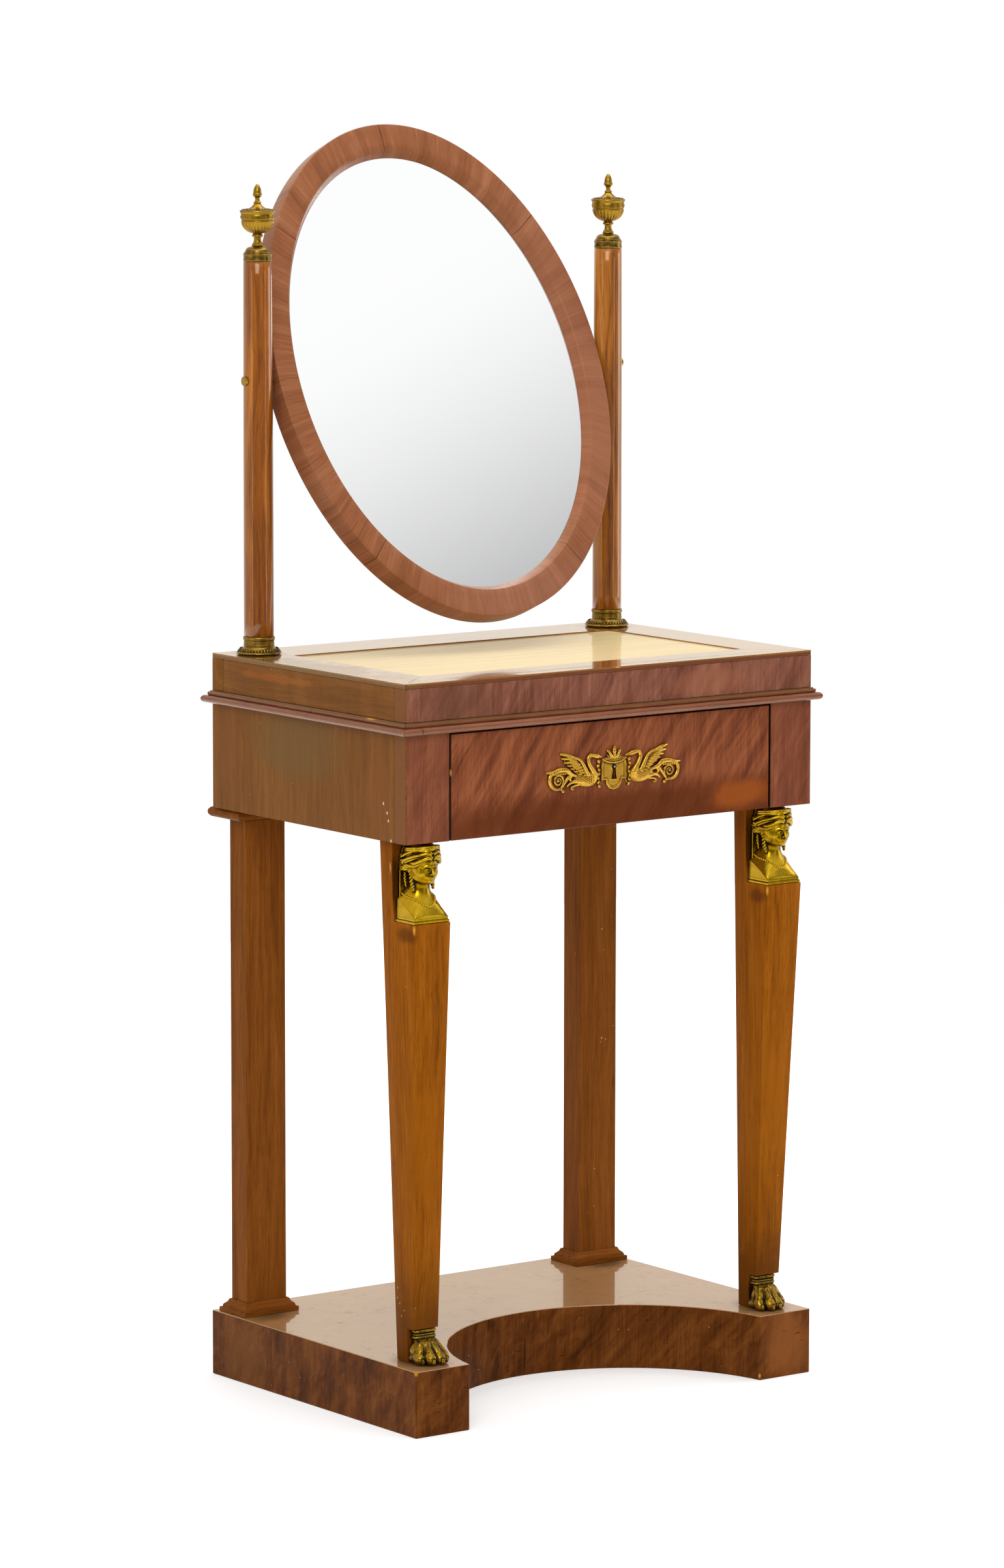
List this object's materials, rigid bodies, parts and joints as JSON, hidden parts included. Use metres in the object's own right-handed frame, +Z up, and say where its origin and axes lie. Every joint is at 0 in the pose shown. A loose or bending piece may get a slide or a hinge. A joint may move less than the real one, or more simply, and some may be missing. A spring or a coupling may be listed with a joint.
{
  "type": "dressing table with tilting mirror",
  "caption": "Mahogany dressing table on a recessed plinth, with a locking frieze drawer, carved front legs, and an oval mirror that tilts between columns.",
  "frame": {"origin": "on the floor under the middle of the case, on the plinth's underside", "axes": "+Z up, -Y out of the drawer front, +X to the right of someone who looks at the drawer"},
  "size_m": [0.549, 0.4447, 1.3304],
  "materials": {
    "front_mahogany": "French-polished flame mahogany veneer, red-brown, worn",
    "case_mahogany": "polished mahogany faded to olive brown",
    "top_mahogany": "mahogany veneer, high polish",
    "top_inset": "pale honey-coloured veneer, high polish",
    "leg_mahogany": "polished straight-grained mahogany",
    "column_mahogany": "turned and polished mahogany, glossy",
    "frame_mahogany": "cross-grained mahogany veneer, polished",
    "drawer_oak": "unfinished oak",
    "pine": "unfinished pine",
    "gilt_bronze": "fire-gilt bronze, matt and burnished, darkened in the recesses",
    "brass": "dull brass",
    "steel": "filed iron",
    "mirror_glass": "silvered plate glass"
  },
  "bodies": {
    "root": {"plinth": "front_mahogany", "front_stile_left": "front_mahogany", "front_stile_right": "front_mahogany", "rail_above_drawer": "front_mahogany", "upper_front": "front_mahogany", "waist_moulding_front": "front_mahogany", "waist_moulding_right": "front_mahogany", "waist_moulding_back": "front_mahogany", "waist_moulding_left": "front_mahogany", "case_side_left": "case_mahogany", "case_side_right": "case_mahogany", "case_back": "case_mahogany", "upper_back": "case_mahogany", "upper_side_left": "case_mahogany", "upper_side_right": "case_mahogany", "top_border_front": "top_mahogany", "top_border_right": "top_mahogany", "top_border_back": "top_mahogany", "top_border_left": "top_mahogany", "top_panel": "top_inset", "sub_top": "pine", "rear_leg_left": "leg_mahogany", "rear_leg_right": "leg_mahogany", "rear_leg_base_left": "leg_mahogany", "rear_leg_base_right": "leg_mahogany", "rear_leg_cap_left": "leg_mahogany", "rear_leg_cap_right": "leg_mahogany", "front_leg_left": "leg_mahogany", "front_leg_right": "leg_mahogany", "column_left": "column_mahogany", "column_right": "column_mahogany", "column_collar_left": "gilt_bronze", "column_collar_right": "gilt_bronze", "column_cap_left": "gilt_bronze", "column_cap_right": "gilt_bronze", "finial_left": "gilt_bronze", "finial_right": "gilt_bronze", "pivot_pin_left": "brass", "pivot_pin_right": "brass", "drawer_runner_left": "pine", "drawer_runner_right": "pine", "bust_left": "gilt_bronze", "bust_right": "gilt_bronze", "paw_left": "gilt_bronze", "paw_right": "gilt_bronze", "strike_plate": "brass"},
    "mirror": {"mirror_frame": "frame_mahogany", "mirror_glass": "mirror_glass", "mirror_backboard": "pine", "pivot_bush_left": "brass", "pivot_bush_right": "brass"},
    "drawer": {"drawer_front": "front_mahogany", "drawer_side_left": "drawer_oak", "drawer_side_right": "drawer_oak", "drawer_back": "drawer_oak", "drawer_bottom": "drawer_oak", "lock_case": "steel", "escutcheon": "gilt_bronze"},
    "bolt": {"lock_bolt": "steel"}
  },
  "joints": [
    {"name": "mirror_tilt", "type": "hinge", "parent": "root", "child": "mirror", "pos_m": [0, 0.13765, 1.0697], "axis": [1, 0, 0], "range_deg": [-47, 92]},
    {"name": "drawer_slide", "type": "slide", "parent": "root", "child": "drawer", "axis": [0, -1, 0], "range_m": [0, 0.24]},
    {"name": "bolt_throw", "type": "slide", "parent": "drawer", "child": "bolt", "axis": [0, 0, 1], "range_m": [0, 0.0065]}
  ]
}
